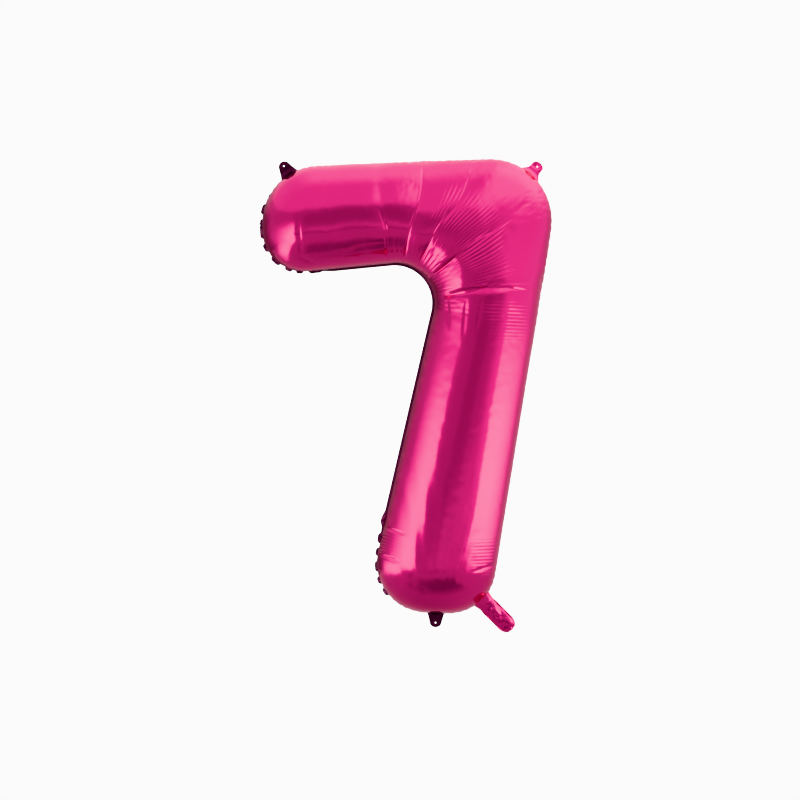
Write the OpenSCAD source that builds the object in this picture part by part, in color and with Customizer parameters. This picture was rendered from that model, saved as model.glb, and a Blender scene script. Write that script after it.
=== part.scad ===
// Foil number balloon shaped as a seven, filled, hanging upright.
// +Z is up, the front faces -Y, and the origin is the middle of the top right hanging hole.
// The balloon lies along the XZ plane, and its edge weld lies in that plane.

/* [Outline] */
// Distance between the two sharp top corners, across the figure
top_w = 554; // [480:1:620]
// Height from the sharp top right corner down to the foot
body_h = 846; // [760:1:920]
// How far the top edge climbs from left to right
top_rise = 22; // [0:1:40]
// Height of the bar at its left end
bar_h = 200; // [180:1:220]
// How far the bar's lower left corner lies to the left of its upper one
bar_end_lean = 4; // [0:1:12]
// How far the foot of the leg lies to the left of the top right corner
foot_shift = 138; // [100:1:170]
// Width of the leg at the foot
foot_w = 230; // [210:1:250]
// How far the left end of the foot is above the right end
foot_rise = 8; // [0:1:20]
// Distance from the top right corner to the inner corner, across
notch_across = 218; // [200:1:235]
// Distance from the top right corner to the inner corner, down
notch_down = 189; // [180:1:205]

/* [Rounding] */
// Radius of the top left corner
round_top_left = 105; // [85:1:110]
// Radius of the top right corner
round_top_right = 115; // [90:1:130]
// Radius of the right corner of the foot
round_foot_right = 86; // [70:1:95]
// Radius of the left corner of the foot
round_foot_left = 92; // [70:1:100]
// Radius of the inner corner
round_inner = 73; // [50:1:85]
// Radius of the lower left corner of the bar
round_bar_low = 77; // [65:1:85]

/* [Inflation] */
// Largest possible half depth of the filled balloon
half_depth_limit = 106; // [100:1:125]
// Wall thickness that stands for the film
film = 0.8; // [0.6:0.1:1.2]

/* [Edge weld] */
// Width of the flat weld round the edge
weld_w = 8; // [6:0.5:10]
// Thickness of the weld and of the tabs
weld_t = 1.2; // [1:0.1:1.6]

/* [Tabs] */
// Direction of the top left tab, from +X towards +Z
tab_left_dir = 122; // [110:1:140]
// Direction of the top right tab
tab_right_dir = 49; // [35:1:60]
// Place of the bottom tab along the foot, as a share of the straight foot edge from its right end
tab_bottom_at = 0.52; // [0.2:0.01:0.8]
// Length of a tab beyond the edge weld
tab_len = 17; // [14:1:22]
// Width of a tab at its root
tab_root_w = 24; // [18:1:28]
// Radius of the tip of a tab
tab_tip_r = 8.5; // [7:0.5:10]
// Radius of the hanging hole
hole_r = 1.5; // [1:0.25:2]

/* [Filling neck] */
// Direction of the neck, from +X towards +Z
neck_dir = -45; // [-60:1:-35]
// Length of the neck from its fold to the mouth
neck_len = 68; // [55:1:80]
// Width of the neck between its side welds
neck_w = 28; // [24:1:32]
// Extra width where the neck grows out of the body
neck_flare = 8; // [0:1:12]
// Width of a side weld of the neck
neck_weld_w = 3; // [2:0.5:4]
// Largest half depth of the puffed neck
neck_puff = 7.5; // [5:0.5:9]
// Half depth of the neck at its root and at its mouth
neck_flat = 1.8; // [1.6:0.1:2.4]

/* [Valve] */
// Width of the flat valve
valve_w = 22; // [16:1:23]
// Thickness of one valve film
valve_film = 0.4; // [0.3:0.1:0.5]
// Gap between the two valve films
valve_gap = 0.3; // [0.2:0.1:0.4]
// Width of a side weld of the valve
valve_weld_w = 3; // [2:0.5:4]
// Length of the valve inside the neck
valve_outer_len = 46; // [30:1:48]
// Length of the valve inside the body
valve_inner_len = 120; // [80:5:140]

/* [Hidden] */
$fn = 48;

foil = [0.86, 0.08, 0.42];
foil_dark = [0.55, 0.05, 0.28];
clear_film = [0.85, 0.87, 0.9];

// Rings of the body along each stretch, and steps round half a ring
n_cap = 9;
n_bar = 5;
n_turn = 8;
n_leg = 9;
n_round = 18;
// Rings along the neck
n_neck = 14;
// How sharply the depth levels off at its limit
level_power = 8;
// Gap between a folding piece and what it folds against
fold_gap = 0.3;
// Gap between the valve and the inside of the edge
valve_clear = 2.5;

// Sharp corners of the figure, clockwise, in a frame whose origin is the sharp top right corner
TOP_LEFT = 0;
TOP_RIGHT = 1;
FOOT_RIGHT = 2;
FOOT_LEFT = 3;
INNER = 4;
BAR_LOW = 5;
corners = [
    [-top_w, -top_rise],
    [0, 0],
    [-foot_shift, -body_h],
    [-foot_shift - foot_w, -body_h + foot_rise],
    [-notch_across, -notch_down],
    [-top_w - bar_end_lean, -top_rise - bar_h],
];
radii = [round_top_left, round_top_right, round_foot_right, round_foot_left, round_inner, round_bar_low];

function unit(v) = v / norm(v);
function lerp(a, b, f) = a + (b - a) * f;
function foot_on(p, a, b) = a + unit(b - a) * ((p - a) * unit(b - a));

// A rounded corner: its arc's centre, and where the arc starts and how far it turns
function to_last(i) = unit(corners[(i + 5) % 6] - corners[i]);
function to_next(i) = unit(corners[(i + 1) % 6] - corners[i]);
function half_angle(i) = acos(to_last(i) * to_next(i)) / 2;
function centre(i) = corners[i] + unit(to_last(i) + to_next(i)) * radii[i] / sin(half_angle(i));
function touch_last(i) = corners[i] + to_last(i) * radii[i] / tan(half_angle(i)) - centre(i);
function touch_next(i) = corners[i] + to_next(i) * radii[i] / tan(half_angle(i)) - centre(i);
function start_angle(i) = atan2(touch_last(i)[1], touch_last(i)[0]);
function sweep(i) = (i == INNER ? 1 : -1) * (180 - 2 * half_angle(i));
// The point at share f of corner i's arc, on the outline moved outwards by grow
function arc_point(i, grow, f) =
    centre(i) + (radii[i] + (i == INNER ? -grow : grow))
    * [cos(start_angle(i) + f * sweep(i)), sin(start_angle(i) + f * sweep(i))];

// The point at share f of a line of points, by length
function lengths(p) = [for (k = [1:len(p) - 1]) norm(p[k] - p[k - 1])];
function total(v, k = 0) = k >= len(v) ? 0 : v[k] + total(v, k + 1);
function walk(p, rest, k = 1) =
    k == len(p) - 1 || rest <= norm(p[k] - p[k - 1])
    ? lerp(p[k - 1], p[k], rest / norm(p[k] - p[k - 1]))
    : walk(p, rest - norm(p[k] - p[k - 1]), k + 1);
function along(p, f) = walk(p, total(lengths(p)) * f);

// The two ends of the figure, halfway along the bar's left edge and the foot
function bar_tip(grow) = (arc_point(TOP_LEFT, grow, 0) + arc_point(BAR_LOW, grow, 1)) / 2;
function leg_tip(grow) = (arc_point(FOOT_RIGHT, grow, 1) + arc_point(FOOT_LEFT, grow, 0)) / 2;
// Points of the outer edge opposite the two ends of the inner corner
function over_notch(grow) =
    foot_on(arc_point(INNER, grow, 1), arc_point(TOP_LEFT, grow, 1), arc_point(TOP_RIGHT, grow, 0));
function beside_notch(grow) =
    foot_on(arc_point(INNER, grow, 0), arc_point(TOP_RIGHT, grow, 1), arc_point(FOOT_RIGHT, grow, 0));
// The outer edge round the top right corner, in two halves
function turn_in(grow) =
    concat([over_notch(grow)], [for (k = [0:10]) arc_point(TOP_RIGHT, grow, k / 20)]);
function turn_out(grow) =
    concat([for (k = [10:20]) arc_point(TOP_RIGHT, grow, k / 20)], [beside_notch(grow)]);

// Every ring's pair of edge points, outer and inner, from the bar's end to the foot, without the tips
function pairs(grow) = concat(
    [for (k = [0:n_cap])
        [arc_point(TOP_LEFT, grow, k / n_cap), arc_point(BAR_LOW, grow, 1 - k / n_cap)]],
    [for (k = [1:n_bar])
        [lerp(arc_point(TOP_LEFT, grow, 1), over_notch(grow), k / n_bar),
         lerp(arc_point(BAR_LOW, grow, 0), arc_point(INNER, grow, 1), k / n_bar)]],
    [for (k = [1:n_turn])
        [along(turn_in(grow), k / n_turn), arc_point(INNER, grow, 1 - k / n_turn / 2)]],
    [for (k = [1:n_turn])
        [along(turn_out(grow), k / n_turn), arc_point(INNER, grow, 0.5 - k / n_turn / 2)]],
    [for (k = [1:n_leg])
        [lerp(beside_notch(grow), arc_point(FOOT_RIGHT, grow, 0), k / n_leg),
         lerp(arc_point(INNER, grow, 0), arc_point(FOOT_LEFT, grow, 1), k / n_leg)]],
    [for (k = [1:n_cap])
        [arc_point(FOOT_RIGHT, grow, k / n_cap), arc_point(FOOT_LEFT, grow, 1 - k / n_cap)]]
);

// Half depth of a ring whose half width is a: round while it is narrow, level where it is wide
function half_depth(a) = a / pow(1 + pow(a / half_depth_limit, level_power), 1 / level_power);

// One front half ring over a pair of edge points, from the outer edge to the inner edge
function half_ring(pair, depth) = [
    for (j = [0:n_round])
        let (p = (pair[0] + pair[1]) / 2 + (pair[0] - pair[1]) / 2 * cos(180 * j / n_round))
        [p[0], -depth * sin(180 * j / n_round), p[1]]
];
function rings(grow, thin) = [
    for (pair = pairs(grow)) half_ring(pair, half_depth(norm(pair[0] - pair[1]) / 2 + thin) - thin)
];

function flat(lists) = [for (l = lists) each l];

// A curved wall: skin and lining are lists of rings of n points each, face to face
module wall(skin, lining) {
    n = len(skin[0]);
    rows = len(skin);
    inside = rows * n;
    faces = concat(
        [for (i = [0:rows - 2]) for (j = [0:n - 2]) [i * n + j, (i + 1) * n + j, i * n + j + 1]],
        [for (i = [0:rows - 2]) for (j = [0:n - 2])
            [(i + 1) * n + j, (i + 1) * n + j + 1, i * n + j + 1]],
        [for (i = [0:rows - 2]) for (j = [0:n - 2])
            [inside + i * n + j + 1, inside + (i + 1) * n + j, inside + i * n + j]],
        [for (i = [0:rows - 2]) for (j = [0:n - 2])
            [inside + i * n + j + 1, inside + (i + 1) * n + j + 1, inside + (i + 1) * n + j]],
        [for (i = [0:rows - 2]) each [
            [(i + 1) * n, i * n, inside + i * n],
            [(i + 1) * n, inside + i * n, inside + (i + 1) * n],
            [i * n + n - 1, (i + 1) * n + n - 1, inside + i * n + n - 1],
            [inside + i * n + n - 1, (i + 1) * n + n - 1, inside + (i + 1) * n + n - 1]]],
        [for (j = [0:n - 2]) each [
            [j, j + 1, inside + j],
            [inside + j, j + 1, inside + j + 1],
            [(rows - 1) * n + j + 1, (rows - 1) * n + j, inside + (rows - 1) * n + j],
            [(rows - 1) * n + j + 1, inside + (rows - 1) * n + j, inside + (rows - 1) * n + j + 1]]]
    );
    polyhedron(points = concat(flat(skin), flat(lining)), faces = faces, convexity = 6);
}

// The same wall with both ends drawn together to a point, as the body's ends are
module closed_wall(skin, lining, skin_tips, lining_tips) {
    n = len(skin[0]);
    rows = len(skin);
    inside = rows * n;
    tips = 2 * inside;
    last = (rows - 1) * n;
    faces = concat(
        [for (i = [0:rows - 2]) for (j = [0:n - 2]) each [
            [i * n + j, (i + 1) * n + j, i * n + j + 1],
            [(i + 1) * n + j, (i + 1) * n + j + 1, i * n + j + 1],
            [inside + i * n + j + 1, inside + (i + 1) * n + j, inside + i * n + j],
            [inside + i * n + j + 1, inside + (i + 1) * n + j + 1, inside + (i + 1) * n + j]]],
        [for (i = [0:rows - 2]) each [
            [(i + 1) * n, i * n, inside + i * n],
            [(i + 1) * n, inside + i * n, inside + (i + 1) * n],
            [i * n + n - 1, (i + 1) * n + n - 1, inside + i * n + n - 1],
            [inside + i * n + n - 1, (i + 1) * n + n - 1, inside + (i + 1) * n + n - 1]]],
        [for (j = [0:n - 2]) each [
            [tips, j, j + 1],
            [tips + 1, inside + j + 1, inside + j],
            [tips + 2, last + j + 1, last + j],
            [tips + 3, inside + last + j, inside + last + j + 1]]],
        [[0, tips, tips + 1], [0, tips + 1, inside],
         [tips, n - 1, inside + n - 1], [tips, inside + n - 1, tips + 1],
         [tips + 2, last, inside + last], [tips + 2, inside + last, tips + 3],
         [last + n - 1, tips + 2, tips + 3], [last + n - 1, tips + 3, inside + last + n - 1]]
    );
    polyhedron(points = concat(flat(skin), flat(lining), [skin_tips[0], lining_tips[0],
                                                          skin_tips[1], lining_tips[1]]),
               faces = faces, convexity = 6);
}

function in_plane(p) = [p[0], 0, p[1]];

module panel() {
    closed_wall(rings(0, 0), rings(-film, film),
                [in_plane(bar_tip(0)), in_plane(leg_tip(0))],
                [in_plane(bar_tip(-film)), in_plane(leg_tip(-film))]);
}

// The outline as one closed loop, grown outwards
function loop(grow) = concat(
    [bar_tip(grow)], [for (pair = pairs(grow)) pair[0]],
    [leg_tip(grow)], [for (k = [len(pairs(grow)) - 1:-1:0]) pairs(grow)[k][1]]
);

// A flat plate of a given thickness, its outline drawn in X and Z, centred on the weld plane
module plate(t) {
    rotate([90, 0, 0])
        linear_extrude(height = t, center = true)
            children();
}

// Places on the edge: the middle of each fold, and the direction that its piece points in
fold_out = weld_w + fold_gap + weld_t / 2;
function out_of(i, dir) = centre(i) + (radii[i] + fold_out) * [cos(dir), sin(dir)];
foot_dir = atan2(-to_next(FOOT_RIGHT)[0], to_next(FOOT_RIGHT)[1]) + 180;
tab_left_root = out_of(TOP_LEFT, tab_left_dir);
tab_right_root = out_of(TOP_RIGHT, tab_right_dir);
tab_bottom_root =
    lerp(arc_point(FOOT_RIGHT, fold_out, 1), arc_point(FOOT_LEFT, fold_out, 0), tab_bottom_at);
neck_root = out_of(FOOT_RIGHT, neck_dir);
hole_out = tab_len - tab_tip_r;
hang_at = tab_right_root + hole_out * [cos(tab_right_dir), sin(tab_right_dir)];

// Draws its children in a frame on the edge: +X points out of the balloon, the fold lies along Z
module at_fold(root, dir) {
    translate([root[0] - hang_at[0], 0, root[1] - hang_at[1]])
        rotate([0, -dir, 0])
            children();
}

module in_body_frame() {
    translate([-hang_at[0], 0, -hang_at[1]])
        children();
}

// A hanging tab: a rounded tongue with a round root that folds, and a punched hole
module tab() {
    difference() {
        union() {
            plate(weld_t)
                polygon([[0, -tab_root_w / 2], [hole_out, -tab_tip_r],
                         [hole_out, tab_tip_r], [0, tab_root_w / 2]]);
            translate([hole_out, 0, 0])
                rotate([90, 0, 0])
                    cylinder(r = tab_tip_r, h = weld_t, center = true);
            cylinder(r = weld_t / 2, h = tab_root_w, center = true, $fn = 24);
        }
        translate([hole_out, 0, 0])
            rotate([90, 0, 0])
                cylinder(r = hole_r, h = weld_t * 3, center = true);
    }
}

// The neck's half width and half depth at share f of its length
function neck_half_w(f, grow) =
    (neck_w / 2 + grow + neck_flare * pow(max(0, 1 - f / 0.3), 2))
    * sqrt(1 - pow(max(0, (f - 0.72) / 0.34), 2));
function neck_half_d(f) = neck_flat + (neck_puff - neck_flat) * pow(sin(180 * pow(f, 0.8)), 1.2);
neck_start = weld_t / 2;
function neck_x(f) = neck_start + (neck_len - neck_start) * f;
function neck_ring(f, thin) = [
    for (j = [0:n_round])
        [neck_x(f),
         -(neck_half_d(f) - thin) * sin(180 * j / n_round),
         (neck_half_w(f, -thin)) * cos(180 * j / n_round)]
];

module neck_film() {
    wall([for (k = [0:n_neck]) neck_ring(k / n_neck, 0)],
         [for (k = [0:n_neck]) neck_ring(k / n_neck, film)]);
}

module neck_weld() {
    plate(weld_t)
        polygon(concat(
            [for (k = [0:n_neck]) [neck_x(k / n_neck), neck_half_w(k / n_neck, 0)]],
            [for (k = [n_neck:-1:0]) [neck_x(k / n_neck), neck_half_w(k / n_neck, neck_weld_w)]]
        ));
}

valve_offset = valve_gap / 2 + valve_film / 2;
valve_inner_start = -fold_out - film - valve_clear;

module valve_sheet(start, length) {
    translate([start + length / 2, -valve_offset, 0])
        cube([length, valve_film, valve_w], center = true);
}

module valve_welds(start, length) {
    for (side = [-1, 1])
        translate([start + length / 2, 0, side * (valve_w - valve_weld_w) / 2])
            cube([length, valve_gap, valve_weld_w], center = true);
}

module front_panel() {
    color(foil)
        in_body_frame()
            panel();
}

module back_panel() {
    color(foil)
        mirror([0, 1, 0])
            in_body_frame()
                panel();
}

module edge_weld() {
    color(foil_dark)
        in_body_frame()
            plate(weld_t)
                difference() {
                    polygon(loop(weld_w));
                    polygon(loop(0));
                }
}

module tab_top_left() {
    color(foil_dark)
        at_fold(tab_left_root, tab_left_dir)
            tab();
}

module tab_top_right() {
    color(foil)
        at_fold(tab_right_root, tab_right_dir)
            tab();
}

module tab_bottom() {
    color(foil_dark)
        at_fold(tab_bottom_root, foot_dir)
            tab();
}

module neck_front_film() {
    color(foil)
        at_fold(neck_root, neck_dir)
            neck_film();
}

module neck_back_film() {
    color(foil)
        at_fold(neck_root, neck_dir)
            mirror([0, 1, 0])
                neck_film();
}

module neck_side_welds() {
    color(foil_dark)
        at_fold(neck_root, neck_dir)
            for (side = [0, 1])
                mirror([0, 0, side])
                    neck_weld();
}

module valve_front_film_outer() {
    color(clear_film)
        at_fold(neck_root, neck_dir)
            valve_sheet(neck_start, valve_outer_len);
}

module valve_back_film_outer() {
    color(clear_film)
        at_fold(neck_root, neck_dir)
            mirror([0, 1, 0])
                valve_sheet(neck_start, valve_outer_len);
}

module valve_side_welds_outer() {
    color(clear_film)
        at_fold(neck_root, neck_dir)
            valve_welds(neck_start, valve_outer_len);
}

module valve_front_film_inner() {
    color(clear_film)
        at_fold(neck_root, neck_dir)
            valve_sheet(valve_inner_start - valve_inner_len, valve_inner_len);
}

module valve_back_film_inner() {
    color(clear_film)
        at_fold(neck_root, neck_dir)
            mirror([0, 1, 0])
                valve_sheet(valve_inner_start - valve_inner_len, valve_inner_len);
}

module valve_side_welds_inner() {
    color(clear_film)
        at_fold(neck_root, neck_dir)
            valve_welds(valve_inner_start - valve_inner_len, valve_inner_len);
}

front_panel();
back_panel();
edge_weld();
tab_top_left();
tab_top_right();
tab_bottom();
neck_front_film();
neck_back_film();
neck_side_welds();
valve_front_film_outer();
valve_back_film_outer();
valve_side_welds_outer();
valve_front_film_inner();
valve_back_film_inner();
valve_side_welds_inner();
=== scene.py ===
"""Foil number balloon shaped as a seven: the looks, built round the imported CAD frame. Units are metres."""
import math

import bpy
import numpy as np
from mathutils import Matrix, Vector
from mathutils.geometry import delaunay_2d_cdt


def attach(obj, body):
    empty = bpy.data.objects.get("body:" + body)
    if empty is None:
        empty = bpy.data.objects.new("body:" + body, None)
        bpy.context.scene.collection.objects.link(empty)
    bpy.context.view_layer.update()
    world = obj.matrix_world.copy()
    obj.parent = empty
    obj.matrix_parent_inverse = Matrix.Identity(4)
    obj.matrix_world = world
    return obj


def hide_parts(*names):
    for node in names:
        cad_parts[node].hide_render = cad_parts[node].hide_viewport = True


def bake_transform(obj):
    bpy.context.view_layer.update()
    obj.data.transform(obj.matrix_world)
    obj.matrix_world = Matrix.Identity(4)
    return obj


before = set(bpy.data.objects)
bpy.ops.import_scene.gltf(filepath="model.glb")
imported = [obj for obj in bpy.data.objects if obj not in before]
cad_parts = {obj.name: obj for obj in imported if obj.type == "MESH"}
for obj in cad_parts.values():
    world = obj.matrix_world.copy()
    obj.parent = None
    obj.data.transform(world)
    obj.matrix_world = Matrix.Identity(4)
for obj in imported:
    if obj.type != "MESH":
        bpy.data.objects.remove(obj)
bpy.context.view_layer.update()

rng = np.random.default_rng(7)
norm = np.linalg.norm
columns = np.column_stack
scene = bpy.context.scene

# ---- driving dimensions, as in the CAD
TOP_LEFT, TOP_RIGHT, FOOT_RIGHT, FOOT_LEFT, INNER, BAR_LOW = range(6)
corners = np.array([
    [-0.554, -0.022],
    [0.0, 0.0],
    [-0.138, -0.846],
    [-0.368, -0.838],
    [-0.218, -0.189],
    [-0.558, -0.222],
])
radii = [0.105, 0.115, 0.086, 0.092, 0.073, 0.077]
half_depth_limit = 0.106
level_power = 8  # how sharply the half depth levels off at its limit
weld_w = 0.008
fold_out = 0.0089
tab_left_dir = 122
tab_right_dir = 49
tab_bottom_at = 0.52
tab_hole_out = 0.0085
neck_dir = -45
neck_len = 0.068
neck_half_w = 0.014
neck_flare = 0.008
neck_weld_w = 0.003
neck_puff = 0.0075
tab_len = 0.017
hole_r = 0.0015

# ---- the film's own dimensions
lattice = 0.009  # edge of a film triangle before it is divided
layout_radius = 0.20  # radius that the inner corner is drawn at while the film is meshed
sim_frames = 28
film_t = 0.0005  # thickness that the weld band and the neck's side welds are shown with
seam_band = 0.012  # the film's ripples grow to full height over this far from the seam


def unit(v):
    return v / norm(v)


def heading(degrees):
    return np.array([math.cos(math.radians(degrees)), math.sin(math.radians(degrees))])


def to_last(i):
    return unit(corners[(i + 5) % 6] - corners[i])


def to_next(i):
    return unit(corners[(i + 1) % 6] - corners[i])


def half_angle(i):
    return math.acos(to_last(i) @ to_next(i)) / 2


def centre(i):
    return corners[i] + unit(to_last(i) + to_next(i)) * radii[i] / math.sin(half_angle(i))


def arc(i, grow, f):
    """The point at share f of corner i's arc, on the outline moved outwards by grow."""
    touch = corners[i] + to_last(i) * radii[i] / math.tan(half_angle(i)) - centre(i)
    turn = (1 if i == INNER else -1) * (math.pi - 2 * half_angle(i))
    a = math.atan2(touch[1], touch[0]) + f * turn
    r = radii[i] + (-grow if i == INNER else grow)
    return centre(i) + r * np.array([math.cos(a), math.sin(a)])


def lerp(a, b, f):
    return a + (b - a) * f


def foot_on(p, a, b):
    return a + unit(b - a) * ((p - a) @ unit(b - a))


def out_of(i, direction):
    return centre(i) + (radii[i] + fold_out) * heading(direction)


foot_dir = math.degrees(math.atan2(-to_next(FOOT_RIGHT)[0], to_next(FOOT_RIGHT)[1])) + 180
tab_left_root = out_of(TOP_LEFT, tab_left_dir)
tab_right_root = out_of(TOP_RIGHT, tab_right_dir)
tab_bottom_root = lerp(arc(FOOT_RIGHT, fold_out, 1), arc(FOOT_LEFT, fold_out, 0), tab_bottom_at)
neck_root = out_of(FOOT_RIGHT, neck_dir)
hang_at = tab_right_root + tab_hole_out * heading(tab_right_dir)  # the frame's origin


def run_along(points):
    """Length along a row of points, up to each of them."""
    return np.r_[0, np.cumsum(norm(np.diff(points, axis=0), axis=1))]


def smooth(x, a, b):
    """0 at a, 1 at b, smooth between them."""
    t = np.clip((x - a) / (b - a), 0, 1)
    return t * t * (3 - 2 * t)


def fall(x, a, b):
    """1 at a, 0 at b, smooth between them."""
    return 1 - smooth(x, a, b)


def bell(x, width):
    return np.exp(-((x / width) ** 2))


def around(x, a, b, soft):
    """1 between a and b, fading over soft on both sides."""
    return smooth(x, a - soft, a + soft) * fall(x, b - soft, b + soft)


# ---- the filled shape, ring by ring
def along(points, f):
    """The point, or points, at share f of a line's length."""
    length = run_along(points)
    return np.stack([np.interp(f * length[-1], length, c) for c in points.T], -1)


# Each ring is a half ellipse over a pair of points, one on the outer edge and one on the inner edge
N_CAP, N_BAR, N_TURN, N_LEG = 60, 60, 60, 120
n_arc = 40  # steps along the top right corner's arc
over_notch = foot_on(arc(INNER, 0, 1), arc(TOP_LEFT, 0, 1), arc(TOP_RIGHT, 0, 0))
beside_notch = foot_on(arc(INNER, 0, 0), arc(TOP_RIGHT, 0, 1), arc(FOOT_RIGHT, 0, 0))
turn_in = np.array([over_notch] + [arc(TOP_RIGHT, 0, k / n_arc) for k in range(n_arc // 2 + 1)])
turn_out = np.array([arc(TOP_RIGHT, 0, k / n_arc) for k in range(n_arc // 2, n_arc + 1)] + [beside_notch])
bar_tip = (arc(TOP_LEFT, 0, 0) + arc(BAR_LOW, 0, 1)) / 2
leg_tip = (arc(FOOT_RIGHT, 0, 1) + arc(FOOT_LEFT, 0, 0)) / 2
pairs = [(bar_tip, bar_tip)]
for k in range(N_CAP + 1):
    pairs.append((arc(TOP_LEFT, 0, k / N_CAP), arc(BAR_LOW, 0, 1 - k / N_CAP)))
for k in range(1, N_BAR + 1):
    f = k / N_BAR
    pairs.append((
        lerp(arc(TOP_LEFT, 0, 1), over_notch, f),
        lerp(arc(BAR_LOW, 0, 0), arc(INNER, 0, 1), f),
    ))
turn_from = len(pairs) - 1
for k in range(1, N_TURN + 1):
    pairs.append((along(turn_in, k / N_TURN), arc(INNER, 0, 1 - k / N_TURN / 2)))
for k in range(1, N_TURN + 1):
    pairs.append((along(turn_out, k / N_TURN), arc(INNER, 0, 0.5 - k / N_TURN / 2)))
turn_to = len(pairs) - 1
for k in range(1, N_LEG + 1):
    f = k / N_LEG
    pairs.append((
        lerp(beside_notch, arc(FOOT_RIGHT, 0, 0), f),
        lerp(arc(INNER, 0, 0), arc(FOOT_LEFT, 0, 1), f),
    ))
for k in range(1, N_CAP + 1):
    pairs.append((arc(FOOT_RIGHT, 0, k / N_CAP), arc(FOOT_LEFT, 0, 1 - k / N_CAP)))
pairs.append((leg_tip, leg_tip))
outer = np.array([p[0] for p in pairs])
inner = np.array([p[1] for p in pairs])
n_rings = len(pairs)
n_round = 65  # points round a ring

middle = (outer + inner) / 2
across = (outer - inner) / 2
half_width = norm(across, axis=1)
half_depth = half_width / (1 + (half_width / half_depth_limit) ** level_power) ** (1 / level_power)
turn = np.linspace(0, math.pi, n_round)
grid = np.stack([
    middle[:, None, 0] - across[:, None, 0] * np.cos(turn),
    -half_depth[:, None] * np.sin(turn),
    middle[:, None, 1] - across[:, None, 1] * np.cos(turn),
], -1)
steps = norm(np.diff(grid, axis=1), axis=2)
ring_arc = np.concatenate([np.zeros((n_rings, 1)), np.cumsum(steps, axis=1)], 1)
ring_len = ring_arc[:, -1]
crest = grid[:, n_round // 2]
run = run_along(crest)
turn_angle = math.pi - 2 * half_angle(INNER)
s1, s2 = run[turn_from], run[turn_to]  # where the turn starts and ends

# In the caps, how far the inner end of a ring lies inside the inner end of the full ring beyond it
inset = np.zeros(n_rings)
for full, members in ((N_CAP + 1, range(1, N_CAP + 1)),
                      (n_rings - N_CAP - 2, range(n_rings - N_CAP - 1, n_rings - 1))):
    for k in members:
        axis = unit(middle[k] - middle[full])
        drop_in = inner[k] - inner[full]
        drop_out = outer[k] - outer[full]
        d_in = norm(drop_in - (drop_in @ axis) * axis)
        d_out = norm(drop_out - (drop_out @ axis) * axis)
        inset[k] = (ring_len[full] - ring_len[k]) * d_in / (d_in + d_out + 1e-9)
inset[0] = inset[1] + ring_len[1] / 2
inset[-1] = inset[-2] + ring_len[-2] / 2


def edge_normals(points, sign):
    """Directions that point out of the balloon, in its plane, along an edge."""
    t = np.gradient(points, axis=0)
    n = sign * columns([-t[:, 1], t[:, 0]])
    n = n / np.maximum(norm(n, axis=1)[:, None], 1e-12)
    n[0] = n[1]
    n[-1] = n[-2]
    return n


outer_normal = edge_normals(outer, 1)
inner_normal = edge_normals(inner, -1)
outer_run = run_along(outer)
inner_run = run_along(inner)


# ---- the film's flat layout and its mesh
def to_layout(s, v):
    """Lays the strip of film out flat: bar, turn round the inner corner, leg."""
    phi = np.clip((s - s1) / (s2 - s1), 0, 1) * turn_angle
    ahead = np.stack([np.cos(phi), -np.sin(phi)], -1)
    out = np.stack([np.sin(phi), np.cos(phi)], -1)
    beyond = np.where(s < s1, s - s1, np.where(s > s2, s - s2, 0))
    return out * (layout_radius + v)[:, None] + ahead * beyond[:, None]


def from_layout(p):
    x, y = p[:, 0], p[:, 1]
    phi = np.arctan2(x, y)
    ahead = np.array([math.cos(turn_angle), -math.sin(turn_angle)])
    out = np.array([math.sin(turn_angle), math.cos(turn_angle)])
    in_bar = (x < 0) & (y > 0)
    phi = np.where((phi < 0) & ~in_bar, phi + 2 * math.pi, phi)
    in_leg = ~in_bar & (phi > turn_angle)
    rho = np.where(in_bar, y, np.where(in_leg, p @ out, np.hypot(x, y)))
    s = np.where(in_bar, s1 + x, np.where(in_leg, s2 + p @ ahead, s1 + phi / turn_angle * (s2 - s1)))
    return np.clip(s, 0, run[-1]), rho - layout_radius


def even_loop(points, step):
    closed = np.vstack([points, points[:1]])
    n = int(round(run_along(closed)[-1] / step))
    return along(closed, np.arange(n) / n)


def inside(p, loop):
    odd = np.zeros(len(p), bool)
    for a, b in zip(np.roll(loop, 1, 0), loop):
        crosses = (b[1] > p[:, 1]) != (a[1] > p[:, 1])
        x = (a[0] - b[0]) * (p[:, 1] - b[1]) / (a[1] - b[1] + 1e-15) + b[0]
        odd ^= crosses & (p[:, 0] < x)
    return odd


def gap_to(p, loop):
    least = np.full(len(p), 1e9)
    for a, b in zip(loop, np.roll(loop, -1, 0)):
        u = b - a
        t = np.clip(((p - a) @ u) / (u @ u + 1e-15), 0, 1)
        least = np.minimum(least, norm(p - (a + t[:, None] * u), axis=1))
    return least


def triangulate(loop, step, holes=()):
    """Even triangles inside a closed loop, less any holes. The loop's own points come first."""
    edge_room, hole_room = 0.55, 0.4  # least gap to the loop and to a hole, in steps
    low, high = loop.min(0), loop.max(0)
    free = np.array([
        (x, y)
        for r, y in enumerate(np.arange(low[1], high[1], step * math.sqrt(3) / 2))
        for x in np.arange(low[0] + (r % 2) * step / 2, high[0], step)
    ])
    free = free[inside(free, loop)]
    free = free[gap_to(free, loop) > step * edge_room]
    edges = [(k, (k + 1) % len(loop)) for k in range(len(loop))]
    points = [loop]
    count = len(loop)
    for hole in holes:
        free = free[~inside(free, hole)]
        free = free[gap_to(free, hole) > step * hole_room]
        edges += [(count + k, count + (k + 1) % len(hole)) for k in range(len(hole))]
        points.append(hole)
        count += len(hole)
    points = np.vstack(points + [free])
    made = delaunay_2d_cdt([Vector(p) for p in points], edges, [], 1, 1e-7)
    verts = np.array([[v.x, v.y] for v in made[0]])
    tris = np.array(made[2])
    for hole in holes:
        tris = tris[~inside(verts[tris].mean(1), hole)]
    return verts, tris


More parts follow.
